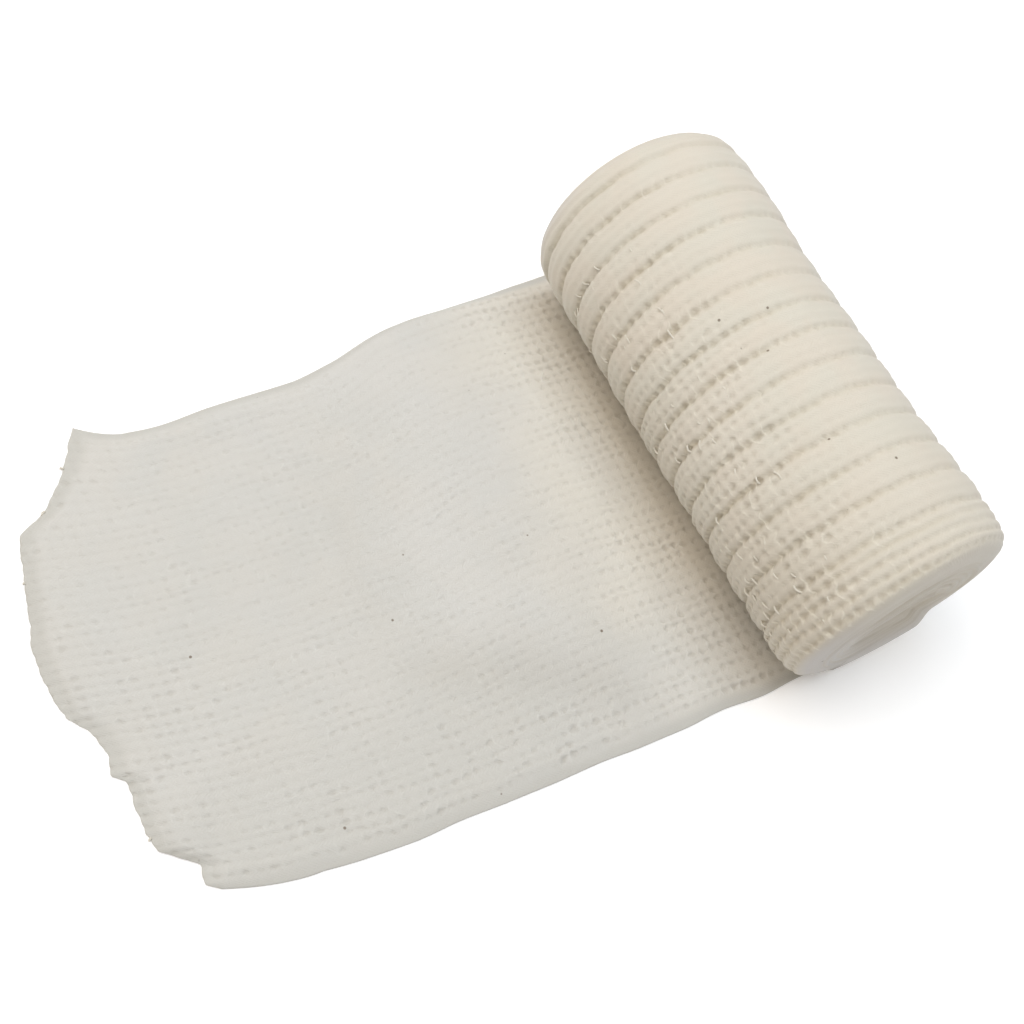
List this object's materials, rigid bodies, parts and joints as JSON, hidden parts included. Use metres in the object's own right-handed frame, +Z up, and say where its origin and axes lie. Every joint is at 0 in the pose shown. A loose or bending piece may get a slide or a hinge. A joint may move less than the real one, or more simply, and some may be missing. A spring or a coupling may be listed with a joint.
{
  "type": "crepe bandage roll",
  "caption": "Crepe bandage: a ribbed, stretchy gauze strip wound into a roll, its loose end unrolled flat beside it with a raw cut edge. Wraps and supports a limb.",
  "frame": {"origin": "middle of the small flat spot that the roll lies on, on the surface", "axes": "+Z up, Y along the roll's axis, the loose end runs to -X"},
  "size_m": [0.1592, 0.0998, 0.0468],
  "materials": {
    "crepe_roll": "unbleached cotton crepe, matt",
    "crepe_sheet": "unbleached cotton crepe, matt, a little greyer where it is a single layer"
  },
  "bodies": {
    "root": {"wound_roll": "crepe_roll", "loose_end": "crepe_sheet"}
  },
  "joints": []
}
